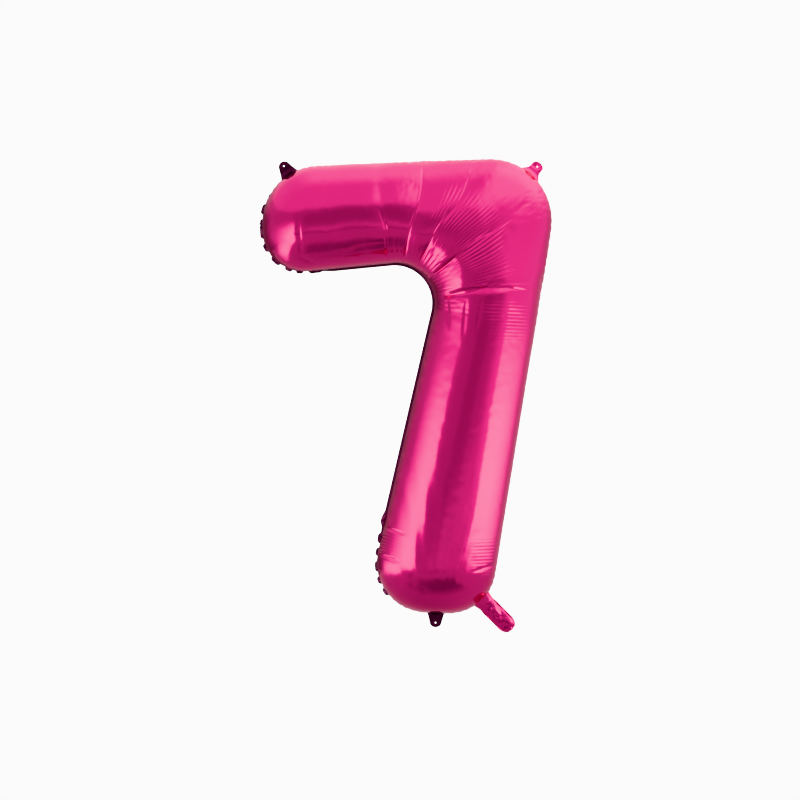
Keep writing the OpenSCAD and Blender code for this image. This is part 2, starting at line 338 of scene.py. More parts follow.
layout_loop = np.vstack([to_layout(run, inset + ring_len), to_layout(run, inset)[::-1][1:-1]])
film_ring = even_loop(layout_loop, lattice)
film_flat, film_tris = triangulate(film_ring, lattice)
n_ring = len(film_ring)
film_s, film_v = from_layout(film_flat)


def on_target(s, v):
    """The smooth filled shape's point at run s and distance v over the film, and its share of the ring."""
    k = np.clip(np.searchsorted(run, s, side="right") - 1, 0, n_rings - 2)
    f = (s - run[k]) / (run[k + 1] - run[k])
    start = inset[k] * (1 - f) + inset[k + 1] * f
    length = ring_len[k] * (1 - f) + ring_len[k + 1] * f
    share = np.clip((v - start) / np.maximum(length, 1e-9), 0, 1)
    row = np.arange(len(s))
    point = np.zeros((len(s), 3))
    for kk, ff in ((k, 1 - f), (k + 1, f)):
        arc_share = ring_arc[kk] / np.maximum(ring_arc[kk][:, -1:], 1e-9)
        j = np.clip((arc_share < share[:, None]).sum(1) - 1, 0, n_round - 2)
        a, b = arc_share[row, j], arc_share[row, j + 1]
        g = np.clip((share - a) / np.maximum(b - a, 1e-9), 0, 1)[:, None]
        point += (grid[kk, j] * (1 - g) + grid[kk, j + 1] * g) * ff[:, None]
    return point, share


film_at, film_share = on_target(film_s, film_v)
film_at[:n_ring, 1] = 0
film_share[:n_ring] = np.round(film_share[:n_ring])


def face_normals(p, tris):
    return np.cross(p[tris[:, 1]] - p[tris[:, 0]], p[tris[:, 2]] - p[tris[:, 0]])


def point_normals(p, tris):
    n = np.zeros_like(p)
    for c in range(3):
        np.add.at(n, tris[:, c], face_normals(p, tris))
    return n / np.maximum(norm(n, axis=1)[:, None], 1e-15)


def facing(tris, p, sign):
    """The triangles turned so that they face sign along Y on the whole."""
    return tris if face_normals(p, tris)[:, 1].sum() * sign > 0 else tris[:, ::-1]


front_tris = facing(film_tris, film_at, -1)


# ---- creases of the film
notch = centre(INNER)


def polar(p):
    """Distance and angle of points about the centre of the inner corner, in the balloon's plane."""
    d = p[:, [0, 2]] - notch
    return np.hypot(d[:, 0], d[:, 1]), np.degrees(np.arctan2(d[:, 1], d[:, 0]))


def seam_gap(s, share):
    """Distance from the seam, over the film."""
    return np.minimum(share, 1 - share) * np.interp(s, run, ring_len)


def edge_run(s, share):
    """How far along the nearer edge: forwards on the outer one, backwards on the inner one."""
    return np.where(share > 0.5, np.interp(s, run, outer_run), -np.interp(s, run, inner_run))


# Long creases that fan out of the inner corner: angle, and how puffed the film is up to the next one
front_fan = [(-40, 0.5), (9, 1.0), (37, 0.9), (59, 0.8), (77.5, 0.7), (97, 0.6), (128, 0)]
FACET = 2  # the front bulge that is a flat bright facet in the photo
back_fan = [(-34, 0.5), (4, 0.8), (24, 0.9), (45, 0.8), (66, 0.9), (86, 0.6), (120, 0)]


def fan_relief(p, fan):
    """The film bulges between one long crease and the next."""
    puff, widest = 0.055, 0.09  # height of a bulge as a share of its width, and the width where that stops
    r, a = polar(p)
    high = np.zeros(len(p))
    for k in range(len(fan) - 1):
        apart = fan[k + 1][0] - fan[k][0]
        f = (a - fan[k][0]) / apart
        bulge = 4 * f * (1 - f)
        if fan is front_fan and k == FACET:
            # Steep up from its first crease, then falling to the next
            skewed = np.sqrt(np.clip(f, 0, 1))
            facet = fall(r, 0.125, 0.185)
            bulge = bulge * (1 - facet) + 7.8 * skewed * (1 - skewed) * facet
        if k == 0:
            bulge = 6.75 * f * f * (1 - f)
        if k == len(fan) - 2:
            bulge = 6.75 * f * (1 - f) ** 2
        width = np.minimum(r * math.radians(apart), widest)
        high += np.where((f > 0) & (f < 1), bulge * fan[k][1] * width * puff, 0)
    return high * smooth(r, 0.072, 0.10) * fall(r, 0.21, 0.33)


def line_gap(p, line):
    """Signed distance from a line of points, above it positive, and how far along the line."""
    q = p[:, [0, 2]]
    line = np.array(line)
    total = run_along(line)
    found = []
    for k in range(len(line) - 1):
        u = line[k + 1] - line[k]
        t = np.clip(((q - line[k]) @ u) / (u @ u), 0, 1)
        d = q - (line[k] + t[:, None] * u)
        above = np.sign(u[0] * d[:, 1] - u[1] * d[:, 0])
        found.append((norm(d, axis=1), above, (total[k] + t * (total[k + 1] - total[k])) / total[-1]))
    found = np.array(found)
    gap, above, where = found[found[:, 0].argmin(0), :, np.arange(len(p))].T
    return gap * above, where


def shallow_turn(p):
    """The film is pulled taut round the outer corner, so the balloon is shallower there."""
    drawn_in = 0.24  # share of the depth lost at the outer edge
    r, a = polar(p)
    zone = smooth(a, 4, 17) * fall(a, 66, 100)
    flatter = p.copy()
    flatter[:, 1] *= 1 - drawn_in * zone * smooth(r, 0.105, 0.265)
    return flatter


# The big crease across the top of the leg: the film above it hangs over the film below it
leg_crease = [(-0.238, -0.266), (-0.210, -0.255), (-0.165, -0.245), (-0.105, -0.243), (-0.055, -0.251)]
back_crease = [(-0.232, -0.300), (-0.190, -0.292), (-0.140, -0.296), (-0.080, -0.288), (-0.050, -0.290)]


def step_relief(p, line, height):
    """A step across the film: a fold above the line, and a valley and a soft swell below it."""
    d, f = line_gap(p, line)
    fade = smooth(f, 0.04, 0.28) * fall(f, 0.84, 1.0)
    above = np.where(d > 0, (1 - np.exp(-d / 0.004)) * bell(d, 0.040), 0)
    swell = 0.25 * bell(d + 0.022, 0.016)
    below = np.where(d < 0, -0.5 * np.exp(d / 0.012) + swell, -0.5 * np.exp(-d / 0.002))
    return height * fade * (above + below)


def coarse_relief(p, side):
    """The ripples that the film starts the simulation with, along its normals."""
    front_step, back_step = 0.0024, 0.0035
    if side < 0:
        return fan_relief(p, front_fan) + step_relief(p, leg_crease, front_step)
    return fan_relief(p, back_fan) + step_relief(p, back_crease, back_step)


def wave(x, length):
    """Puffy ribs with sharp valleys: 1 on a rib, 0 in a valley."""
    return np.abs(np.sin(math.pi * x / length)) ** 0.8


def fine_relief(p, s, share, side):
    """Ribs and puckers, along the film's normals, too fine for the simulated film."""
    r, a = polar(p)
    gap = seam_gap(s, share)
    x, z = p[:, 0], p[:, 2]
    shift = 0.0 if side < 0 else 7.0
    drift = 0.9 * np.sin(41 * x + 1.3 + shift) + 0.7 * np.sin(57 * z + 0.4 + shift)

    def ribs(zone, place, height, spacing):
        return height * zone * wave(place, spacing)

    # Ribs close round the inner corner
    zone = around(a, -6, 100, 4) * smooth(r, 0.076, 0.088) * fall(r, 0.100, 0.122)
    high = ribs(zone * (1 - 0.4 * smooth(a, 55, 80)), a + drift, height=0.00042, spacing=4.6)
    # Diverging ribs over the top of the turn
    zone = around(a, 32, 66, 3) * smooth(r, 0.125, 0.160) * fall(r, 0.215, 0.265)
    high += ribs(zone, a + 0.6 * drift + shift, height=0.00060, spacing=1.8)
    # Ribs above the big crease
    zone = around(a, 13, 34, 3) * smooth(r, 0.130, 0.160) * fall(r, 0.215, 0.250)
    high += ribs(zone, a + 0.5 * drift, height=0.00060, spacing=2.0)
    # Ribs across the leg below the big crease
    zone = around(x, -0.145, -0.065, 0.016) * around(z, -0.335, -0.268, 0.016)
    high += ribs(zone, z + 0.06 * x + 0.0006 * drift, height=0.00034, spacing=0.0066)
    # Ribs across the foot of the leg, at both edges
    zone = around(x, -0.345, -0.290, 0.012) * around(z, -0.740, -0.692, 0.008)
    high += ribs(zone, z + 0.30 * x + 0.0004 * drift, height=0.0005, spacing=0.0062)
    zone = around(x, -0.165, -0.120, 0.012) * around(z, -0.765, -0.705, 0.012)
    high += ribs(zone, z - 0.05 * x + 0.0004 * drift, height=0.0004, spacing=0.0062)
    # Long soft pleats up the lower leg
    pleats_x, pleats_z = -0.235, -0.93  # the point below the foot that the pleats run out from
    pleat_high, pleat_apart = 0.00022, 6.2
    lean = np.degrees(np.arctan2(x - pleats_x, z - pleats_z))
    zone = fall(z, -0.66, -0.50) * smooth(z, -0.815, -0.77) * around(lean, -13, 17, 5)
    high += pleat_high * zone * np.sin(2 * math.pi * (lean + 0.8 * np.sin(31 * z)) / pleat_apart)
    # Puckers along the edge of the two ends
    edge = edge_run(s, share)
    end = fall(s, run[N_CAP] * 0.9, run[N_CAP] * 1.5)
    end = end + smooth(s, run[-N_CAP] - 0.05, run[-N_CAP] + 0.02)
    reach = 0.020 + 0.006 * np.sin(edge * 170 + shift)
    zone = end * smooth(gap, 0.0, 0.006) * fall(gap, reach * 0.5, reach * 1.5)
    pucker = wave(edge + 0.0010 * np.sin(edge * 95 + shift), 0.0135) - 0.6
    high += 0.0011 * zone * pucker
    # A few puckers along the turn's outer edge
    bend = around(s, s1, s2, 0.03) * (share > 0.5)
    zone = bend * smooth(gap, 0.0, 0.006) * fall(gap, 0.010, 0.026)
    pucker = wave(edge + 0.0012 * np.sin(edge * 83), 0.016) - 0.6
    high += 0.0006 * zone * pucker
    return high


def crease_relief(p, side):
    """Sharp lines pressed into the film."""
    fan_deep, leg_deep, line_wide = 0.0010, 0.0009, 0.0022
    reaches = (0.24, 0.26, 0.28, 0.26, 0.17)  # how far out each long crease runs
    r, a = polar(p)
    deep = np.zeros(len(p))
    for k, (angle, _) in enumerate((front_fan if side < 0 else back_fan)[1:-1]):
        reach = reaches[k]
        off = np.abs(a - angle - 1.2 * np.sin(r * 40 + k)) * math.radians(1) * r
        line = smooth(r, 0.073, 0.09) * fall(r, reach - 0.04, reach + 0.02)
        deep += fan_deep * line * bell(off, line_wide)
    # Short creases: start, end, depth, width
    short = [
        ((-0.33, -0.684), (-0.283, -0.701), 0.0016, 0.0024),
        ((-0.34, -0.734), (-0.3, -0.75), 0.0018, 0.0024),
        ((-0.172, -0.768), (-0.118, -0.75), 0.0012, 0.0024),
        ((-0.342, -0.092), (-0.322, -0.152), 0.001, 0.0024),
        ((-0.49, -0.11), (-0.483, -0.196), 0.0008, 0.004),
        ((-0.492, -0.185), (-0.458, -0.199), 0.0014, 0.004),
        ((-0.45, -0.185), (-0.3, -0.16), 0.0006, 0.0045),
        ((-0.4, -0.172), (-0.322, -0.16), 0.0009, 0.004),
        ((-0.216, -0.258), (-0.211, -0.326), 0.0015, 0.0032),
        ((-0.179, -0.254), (-0.187, -0.345), 0.0006, 0.0036),
        ((-0.15, -0.256), (-0.163, -0.33), 0.0005, 0.0036),
        ((-0.287, -0.768), (-0.272, -0.8), 0.0012, 0.006),
        ((-0.262, -0.79), (-0.255, -0.812), 0.0008, 0.004),
    ]
    d, f = line_gap(p, leg_crease if side < 0 else back_crease)
    deep += leg_deep * bell(d, line_wide) * around(f, 0.20, 0.90, 0.08)
    for start, end, depth, width in short:
        d, f = line_gap(p, [start, end])
        deep += depth * bell(d, width) * smooth(f, 0.0, 0.35) * fall(f, 0.6, 1.0)
    return -deep


# ---- the seam and the weld band beyond it
roots = [tab_left_root, tab_right_root, tab_bottom_root, neck_root]
dirs = [tab_left_dir, tab_right_dir, foot_dir, neck_dir]
flat_halves = [0.010, 0.008, 0.009, 0.006]
seam_in = 0.0036  # how far the free seam is drawn in


def flat_here(q):
    """1 where a tab or the neck grows out of the weld, 0 away from them. q is in the balloon's plane."""
    fade = 0.009
    share = np.zeros(len(q))
    for root, direction, half in zip(roots, dirs, flat_halves):
        seam_at = root - fold_out * heading(direction)
        gap = norm(q - seam_at, axis=1)
        share = np.maximum(share, fall(gap, half, half + fade))
    return share


def free_edge(s, share):
    """1 on the outer edge and round both ends, 0 along the tight inner edge."""
    ends = fall(s, run[N_CAP], run[N_CAP] + 0.05) + smooth(s, run[-N_CAP] - 0.06, run[-N_CAP])
    return np.where(share > 0.5, 1.0, np.clip(ends, 0, 1))


def ruffle(q):
    """How strongly the weld band waves: most at the bar's lower left and the leg's lower left."""
    left = fall(q[:, 0], -0.530, -0.500) * fall(q[:, 1], -0.10, -0.06)
    under = fall(q[:, 0], -0.470, -0.430) * fall(q[:, 1], -0.20, -0.17)
    heel = fall(q[:, 1], -0.68, -0.65) * fall(q[:, 0], -0.330, -0.300)
    return np.clip(left + under + heel, 0, 1) * (1 - flat_here(q))


def seam_shape(p, s, share):
    """Moves points near the seam: inwards into its valley, and to and fro where the band waves."""
    pull_band, sway_band = 0.0045, 0.007  # how far from the seam each of them reaches
    ruffle_high, slight_high = 0.0022, 0.0002
    q = p[:, [0, 2]]
    gap = seam_gap(s, share)
    out_x, out_z = (
        np.where(share > 0.5, np.interp(s, run, outer_normal[:, c]), np.interp(s, run, inner_normal[:, c]))
        for c in range(2)
    )
    pull = seam_in * free_edge(s, share) * (1 - flat_here(q)) * bell(gap, pull_band)
    edge = edge_run(s, share)
    sway = ruffle_high * ruffle(q) * np.sin(2 * math.pi * edge / 0.026)
    sway += slight_high * (1 - flat_here(q)) * np.sin(2 * math.pi * edge / 0.045 + 1)
    sway *= bell(gap, sway_band)
    moved = p.copy()
    moved[:, 0] -= out_x * pull
    moved[:, 2] -= out_z * pull
    moved[:, 1] += sway
    return moved


# ---- mesh helpers
def to_frame(p):
    return p - np.array([hang_at[0], 0, hang_at[1]])


def grid_quads(n_rows, n_columns, wrap=False):
    """Faces of a grid of points given row by row; with wrap it closes both ways."""
    faces = []
    for i in range(n_rows - (not wrap)):
        for j in range(n_columns - (not wrap)):
            a, b = i * n_columns, (i + 1) % n_rows * n_columns
            n = (j + 1) % n_columns
            faces.append((a + j, a + n, b + n, b + j))
    return faces


def add_piece(name, points, faces):
    mesh = bpy.data.meshes.new(name)
    mesh.from_pydata(points.tolist(), [], [tuple(int(i) for i in f) for f in faces])
    mesh.update()
    piece = bpy.data.objects.new(name, mesh)
    scene.collection.objects.link(piece)
    mesh.polygons.foreach_set("use_smooth", [True] * len(mesh.polygons))
    return piece


def edges_of(tris):
    return np.sort(np.vstack([tris[:, [0, 1]], tris[:, [1, 2]], tris[:, [2, 0]]]), 1)


def loop_divide(p, tris, extra):
    """One step of Loop subdivision. Open edges stay curves. extra is carried along linearly."""
    n = len(p)
    opposite = np.concatenate([tris[:, 2], tris[:, 0], tris[:, 1]])
    keys, which, uses = np.unique(edges_of(tris), axis=0, return_inverse=True, return_counts=True)
    which = which.ravel()
    e0, e1 = keys.T
    far = np.zeros((len(keys), 3))
    np.add.at(far, which, p[opposite])
    open_edge = uses == 1
    made = np.where(open_edge[:, None], (p[e0] + p[e1]) / 2, 3 / 8 * (p[e0] + p[e1]) + far / 8)
    count = np.zeros(n)
    near = np.zeros((n, 3))
    rim = np.zeros((n, 3))
    for a, b in ((e0, e1), (e1, e0)):
        np.add.at(count, a, 1)
        np.add.at(near, a, p[b])
        np.add.at(rim, a[open_edge], p[b[open_edge]])
    beta = (5 / 8 - (3 / 8 + np.cos(2 * np.pi / count) / 4) ** 2) / count
    moved = p * (1 - count * beta)[:, None] + near * beta[:, None]
    on_rim = np.unique([e0[open_edge], e1[open_edge]])
    moved[on_rim] = p[on_rim] * 0.75 + rim[on_rim] * 0.125
    m = which.reshape(3, -1) + n
    divided = np.vstack([
        columns([tris[:, 0], m[0], m[2]]),
        columns([m[0], tris[:, 1], m[1]]),
        columns([m[2], m[1], tris[:, 2]]),
        columns([m[0], m[1], m[2]]),
    ])
    return np.vstack([moved, made]), divided, np.vstack([extra, (extra[e0] + extra[e1]) / 2])


def divide_ring(values):
    """The same step along the closed seam alone, its points kept in order."""
    after = np.roll(values, -1, 0)
    before = np.roll(values, 1, 0)
    out = halve_ring(values)
    out[0::2] = values * 0.75 + (after + before) * 0.125
    return out


def halve_ring(values):
    out = np.empty((2 * len(values), values.shape[1]))
    out[0::2] = values
    out[1::2] = (values + np.roll(values, -1, 0)) / 2
    return out


# ---- blow the film up: cloth with pressure
n_film = len(film_at)
film_at = shallow_turn(film_at)


def rippled(at, tris, side):
    """The smooth shape with its coarse ripples, which fade out at the seam."""
    high = coarse_relief(at, side) * smooth(seam_gap(film_s, film_share), 0, seam_band)
    return at + point_normals(at, tris) * high[:, None]


mirrored = film_at * np.array([1, -1, 1])
back_tris = facing(film_tris, mirrored, 1)
start_front = rippled(film_at, front_tris, -1)
start_back = rippled(mirrored, back_tris, 1)
shell_points = np.vstack([start_front, start_back[n_ring:]])
to_shell = np.arange(n_film)
to_shell[n_ring:] += n_film - n_ring
shell_tris = np.vstack([front_tris, to_shell[back_tris]])


def blow_up(points, tris):
    """The film under gas pressure, held a little at the seam. It starts very slightly uneven."""
    unevenness, seam_share, seam_hold = 0.00012, 0.3, 0.6
    grain = rng.normal(0, unevenness, points.shape)
    grain[:n_ring] *= seam_share
    shell = add_piece("blown_film", points + grain, tris)
    ring_group = shell.vertex_groups.new(name="seam")
    ring_group.add(list(range(n_ring)), seam_hold, "REPLACE")
    cloth = shell.modifiers.new("film", "CLOTH")
    film = cloth.settings
    for way in ("tension", "compression", "shear"):
        setattr(film, way + "_stiffness", 50)
        setattr(film, way + "_damping", 5)
    film.quality = 5
    film.mass = 0.01
    film.air_damping = 1.0
    film.bending_stiffness = 0.01
    film.bending_damping = 0.5
    film.use_pressure = True
    film.uniform_pressure_force = 12
    film.vertex_group_mass = "seam"
    film.pin_stiffness = 1.0
    film.effector_weights.gravity = 0
    cloth.collision_settings.use_collision = False
    cloth.point_cache.frame_end = sim_frames
    scene.frame_start = 1
    scene.frame_end = sim_frames
    for f in range(1, sim_frames + 1):
        scene.frame_set(f)
    result = shell.evaluated_get(bpy.context.evaluated_depsgraph_get())
    blown = np.zeros(len(points) * 3)
    result.data.vertices.foreach_get("co", blown)
    bpy.data.objects.remove(shell)
    scene.frame_set(1)
    return blown.reshape(-1, 3)


blown = blow_up(shell_points, shell_tris)


# ---- front foil, back foil
def finish_film(p, tris, side):
    """Divides the blown film twice, then presses the fine ribs and creases into it."""
    fine_band = 0.004
    extra = columns([film_s, film_share])
    for _ in range(2):
        p, tris, extra = loop_divide(p, tris, extra)
    s, share = extra[:, 0], extra[:, 1]
    rim = open_rim(tris)
    p[rim, 1] = 0
    rise = fine_relief(p, s, share, side) + crease_relief(p, side)
    rise = rise * smooth(seam_gap(s, share), 0.0, fine_band)
    rise[rim] = 0
    p = p + point_normals(p, tris) * rise[:, None]
    return to_frame(seam_shape(p, s, share)), tris


def open_rim(tris):
    kept, uses = np.unique(edges_of(tris), axis=0, return_counts=True)
    return np.unique(kept[uses == 1])


front_foil = add_piece("front_foil", *finish_film(blown[:n_film], front_tris, -1))
back_film = np.vstack([blown[:n_ring], blown[n_film:]])
back_foil = add_piece("back_foil", *finish_film(back_film, back_tris, 1))

# ---- the weld band
ring_at = blown[:n_ring]
ring_extra = columns([film_s[:n_ring], film_share[:n_ring]])
for _ in range(2):
    ring_at = divide_ring(ring_at)
    ring_extra = halve_ring(ring_extra)
ring_at[:, 1] = 0
plain_ring = ring_at[:, [0, 2]]
ring_at = seam_shape(ring_at, ring_extra[:, 0], ring_extra[:, 1])
ring_run = run_along(plain_ring)
ring_along = np.roll(plain_ring, -2, 0) - np.roll(plain_ring, 2, 0)
ring_out = columns([ring_along[:, 1], -ring_along[:, 0]])
ring_out /= norm(ring_out, axis=1)[:, None]
next_point = np.roll(plain_ring, -1, 0)
if (plain_ring[:, 0] * next_point[:, 1] - next_point[:, 0] * plain_ring[:, 1]).sum() < 0:
    ring_out = -ring_out
free = free_edge(ring_extra[:, 0], ring_extra[:, 1])
level = flat_here(plain_ring)
waves = ruffle(plain_ring)
# The band leans back, by degrees: most on the free edges, and less in each scallop
tight_lean, free_lean, scallop_lift, sway_lean = 50, 14, 48, 6
scallop_apart, sway_apart = 0.030, 0.033
uneven = 1.5 * np.sin(ring_run * 31) + 0.7 * np.sin(ring_run * 83)
scallop = np.sin(2 * math.pi * ring_run / scallop_apart + uneven)
sway = np.sin(2 * math.pi * ring_run / sway_apart + np.sin(ring_run * 29))
lean = (tight_lean + free_lean * free) * (1 - level)
lean = lean - waves * scallop_lift * smooth(scallop, -0.9, 0.5)
lean = np.radians(lean + sway_lean * (1 - level) * free * sway)
n_band = len(ring_at)
rows_across = 6
rows = []
for face in (-1, 1):
    for k in range(rows_across + 1):
        w = weld_w * k / rows_across
        curl = lean * (0.75 + 0.5 * k / rows_across)
        thick = face * film_t / 2
        step_out = np.cos(curl) * w - np.sin(curl) * thick
        rows.append(columns([
            ring_at[:, 0] + ring_out[:, 0] * step_out,
            ring_at[:, 1] + np.sin(curl) * w + np.cos(curl) * thick,
            ring_at[:, 2] + ring_out[:, 1] * step_out,
        ]))
rows = rows[: rows_across + 1] + rows[rows_across + 1 :][::-1]
weld_band = add_piece("weld_band", to_frame(np.vstack(rows)), grid_quads(len(rows), n_band, wrap=True))


# ---- hanging tabs
def in_place(local, root, direction):
    """Local (out, y, sideways) points moved to a fold on the edge."""
    out = heading(direction)
    side = np.array([-out[1], out[0]])
    flat = root + local[:, :1] * out + local[:, 2:] * side
    return to_frame(columns([flat[:, 0], local[:, 1], flat[:, 1]]))


def double_sheet(flat, tris, lift, loops, thick):
    """A thin closed sheet from a flat mesh: both faces, and a rim along its outline and its hole."""
    n = len(flat)
    front = columns([flat[:, 0], lift - thick / 2, flat[:, 1]])
    back = columns([flat[:, 0], lift + thick / 2, flat[:, 1]])
    faces = [tuple(t) for t in tris] + [tuple(n + i for i in t[::-1]) for t in tris]
    for first, count in loops:
        for k in range(count):
            a, b = first + k, first + (k + 1) % count
            faces.append((a, a + n, b + n, b))
    return np.vstack([front, back]), faces


tab_in = 0.0110  # how far a tab reaches in over the weld, as the same film
tab_thick = 0.0009
tab_puff = 0.024  # how much thicker its inner end is, where it goes over into the body
tab_round_from = 0.62  # share of the length where the tip's rounding starts
tab_step = 0.0013  # edge of a tab's triangle
tab_edge = 0.0011  # the same on its outline


def tab_outline(profile):
    """Half widths at shares of the length, closed round the tip."""
    share = np.linspace(0, 1, 24)
    x = -tab_in + (tab_len + tab_in) * np.sin(share * math.pi / 2)
    into_tip = np.clip((x / tab_len - tab_round_from) / (1 - tab_round_from), 0, 1)
    half = np.interp(x / tab_len, profile[0], profile[1]) * np.sqrt(1 - into_tip ** 2)
    outline = columns([np.r_[x, x[-2::-1]], np.r_[half, -half[-2::-1]]])
    return even_loop(outline, tab_edge)


def make_tab(name, node, root, direction, profile, seed, lean_back):
    """A thin tab with a punched hole; seed varies how it is crinkled, and lean_back is in degrees."""
    cup, crinkle = 0.0007, 0.0005
    loop = tab_outline(profile)
    turn = np.linspace(0, 2 * math.pi, 25)[:-1]
    hole = columns([tab_hole_out + hole_r * np.cos(turn), hole_r * np.sin(turn)])
    flat, tris = triangulate(loop, tab_step, [hole])
    x, z = flat[:, 0], flat[:, 1]
    bend = smooth(x, 0.001, 0.006)
    lift = cup * bend * np.sin(420 * z + seed) * smooth(x, 0.0, 0.012)
    lift = lift + crinkle * bend * np.sin(300 * x + 260 * z + 2 * seed)
    lift = lift + math.tan(math.radians(lean_back)) * np.clip(x, 0, None)
    half = np.interp(x / tab_len, profile[0], profile[1])
    puff = np.clip(-x / tab_in, 0, 1) ** 2 * np.sqrt(np.clip(1 - (z / half) ** 2, 0, 1))
    thick = tab_thick + tab_puff * puff
    sheet_points, faces = double_sheet(flat, tris, lift, [(0, len(loop)), (len(loop), len(hole))], thick)
    piece = add_piece(name, in_place(sheet_points, root, direction), faces)
    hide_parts(node)
    return piece


# Name, node and body, fold, direction, shares of the length and half widths there, seed, lean back
tabs = [
    ("hanging_tab_left", "tab_top_left", tab_left_root, tab_left_dir,
     ([-0.65, 0.1, 1], [0.0170, 0.0125, 0.0078]), 1.0, 0),
    ("hanging_tab_right", "tab_top_right", tab_right_root, tab_right_dir,
     ([-0.65, -0.25, 0.05, 0.5, 1], [0.0200, 0.0140, 0.0112, 0.0110, 0.0102]), 2.3, 20),
    ("hanging_tab_low", "tab_bottom", tab_bottom_root, foot_dir,
     ([-0.65, 0.1, 1], [0.0160, 0.0125, 0.0085]), 4.1, 0),
]
tab_left, tab_right, tab_low = [make_tab(*tab) for tab in tabs]

# ---- filling neck
neck_back_in = -0.0135  # where the neck's films start, inside the weld
neck_round_from = 0.72  # share of the length where the mouth's rounding starts
neck_round = 0.287
least_half = 0.0005  # the two films never come closer to the middle than this
n_f = 60  # steps along the neck


def neck_width(f):
    """Half width: it flares a little at the root, and the mouth is rounded."""
    flare = 0.25 * neck_flare * np.clip(1 - f / 0.3, 0, None) ** 2
    into_mouth = np.clip(f - neck_round_from, 0, None) / neck_round
    return (neck_half_w + flare) * np.sqrt(np.clip(1 - into_mouth ** 2, 0, 1))


def neck_depth(f):
    """Half depth: the film comes down off the balloon, then runs along the neck."""
    at_body, in_neck = 0.0105, neck_puff - 0.002
    g = np.clip(f, 0, 1)
    return at_body * np.clip(1 - f, 0, None) ** 4.5 + in_neck * np.sin(np.pi * g ** 0.8) ** 1.1


def neck_crumple(f, c, side):
    """Facets and pinches along the neck."""
    fold = np.abs(np.sin(5.2 * f + 1.5 * c + 0.4 + 0.5 * side)) - 0.5
    pinch = np.abs(np.sin(8.5 * f - 1.9 * c + 1.1 * side)) - 0.5
    pleat = np.abs(np.sin(3.3 * c + 1.2 * np.sin(4 * f + side))) - 0.5
    twist = np.sin(2.6 * c + 9 * f + 0.8) * around(f, 0.06, 0.34, 0.08)
    pleat = pleat * fall(f, 0.4, 0.8)
    return 0.0026 * fold + 0.0010 * pinch + 0.0012 * pleat - 0.0022 * twist


def neck_film(name, node, side):
    n_c = 28
    rows = []
    for i in range(n_f + 1):
        out = neck_back_in + (neck_len - neck_back_in) * i / n_f
        f = out / neck_len
        across = np.sin(np.linspace(-1, 1, n_c + 1) * math.pi / 2)
        dome = np.sqrt(np.clip(1 - across ** 2, 0, 1))
        ripple = neck_crumple(f, across, side) * dome * smooth(f, -0.05, 0.2)
        y = side * np.maximum(least_half + neck_depth(f) * dome + ripple, least_half)
        rows.append(columns([np.full(n_c + 1, out), y, across * neck_width(f)]))
    faces = grid_quads(n_f + 1, n_c + 1)
    if side > 0:
        faces = [quad[::-1] for quad in faces]
    piece = add_piece(name, in_place(np.vstack(rows), neck_root, neck_dir), faces)
    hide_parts(node)
    return piece


neck_front = neck_film("neck_front_foil", "neck_front_film", -1)
neck_back = neck_film("neck_back_foil", "neck_back_film", 1)


def neck_weld_band():
    """The neck's flat welded sides, waving a little, on both sides of its films."""
    n_w = 4
    start = neck_back_in * 0.4
    points, faces = [], []
    for side in (-1, 1):
        first = len(points)
        for i in range(n_f + 1):
            out = start + (neck_len - 0.001 - start) * i / n_f
            f = out / neck_len
            half = neck_width(max(f, 0.0))
            sway = 0.0012 * math.sin(16 * f + side) * smooth(f, 0.1, 0.3)
            wide = neck_weld_w * (0.2 + 0.8 * smooth(f, 0.0, 0.2))
            for j in range(n_w + 1):
                w = wide * j / n_w
                for face in (-1, 1):
                    points.append((out, sway * j / n_w + face * film_t / 2, side * (half - 0.0004 + w)))
        stride = 2 * (n_w + 1)
        made = []
        for a in range(first, first + n_f * stride, stride):
            for b in range(a, a + 2 * n_w, 2):
                made.append((b, b + 2, b + stride + 2, b + stride))
                made.append((b + 1, b + stride + 1, b + stride + 3, b + 3))
            made.append((a + 1, a + stride + 1, a + stride, a))
            b = a + 2 * n_w
            made.append((b, b + stride, b + stride + 1, b + 1))
        for a in range(first, first + 2 * n_w, 2):
            b = a + n_f * stride
            made.append((a, a + 1, a + 3, a + 2))
            made.append((b + 2, b + 3, b + 1, b))
        faces += made if side < 0 else [face[::-1] for face in made]
    piece = add_piece("neck_weld_bands", in_place(np.array(points), neck_root, neck_dir), faces)
    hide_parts("neck_side_welds")
    return piece


neck_sides = neck_weld_band()


# ---- materials
def fill(tree, node, *ordered, **named):
    """Gives a node its inputs, in order or by name: outputs of other nodes are linked, all else is set."""
    sockets = node.inputs[:len(ordered)] + [node.inputs[name.replace("_", " ")] for name in named]
    for socket, value in zip(sockets, [*ordered, *named.values()]):
        if isinstance(value, bpy.types.NodeSocket):
            tree.links.new(value, socket)
        else:
            socket.default_value = value
    return node


def add_node(tree, kind, *ordered, **named):
    return fill(tree, tree.nodes.new("ShaderNode" + kind), *ordered, **named)


def step_node(tree, value, low, high, to_low=0.0, to_high=1.0):
    """A smooth step of a node's output from to_low to to_high, between low and high."""
    node = add_node(tree, "MapRange", Value=value, From_Min=low, From_Max=high, To_Min=to_low, To_Max=to_high)
    node.interpolation_type = "SMOOTHSTEP"
    return node.outputs["Result"]


def math_node(tree, kind, *values):
    node = add_node(tree, "Math", *values)
    node.operation = kind
    return node.outputs[0]


def mix_shaders(tree, share, first, second, output):
    """Shows the first shader where share is 0 and the second where it is 1."""
    both = add_node(tree, "MixShader", share, first.outputs[0], second.outputs[0])
    fill(tree, tree.nodes[output], Surface=both.outputs[0])


def new_material(name):
    material = bpy.data.materials.new(name)
    material.use_nodes = True
    tree = material.node_tree
    shader = tree.nodes["Principled BSDF"]
    return material, tree, shader


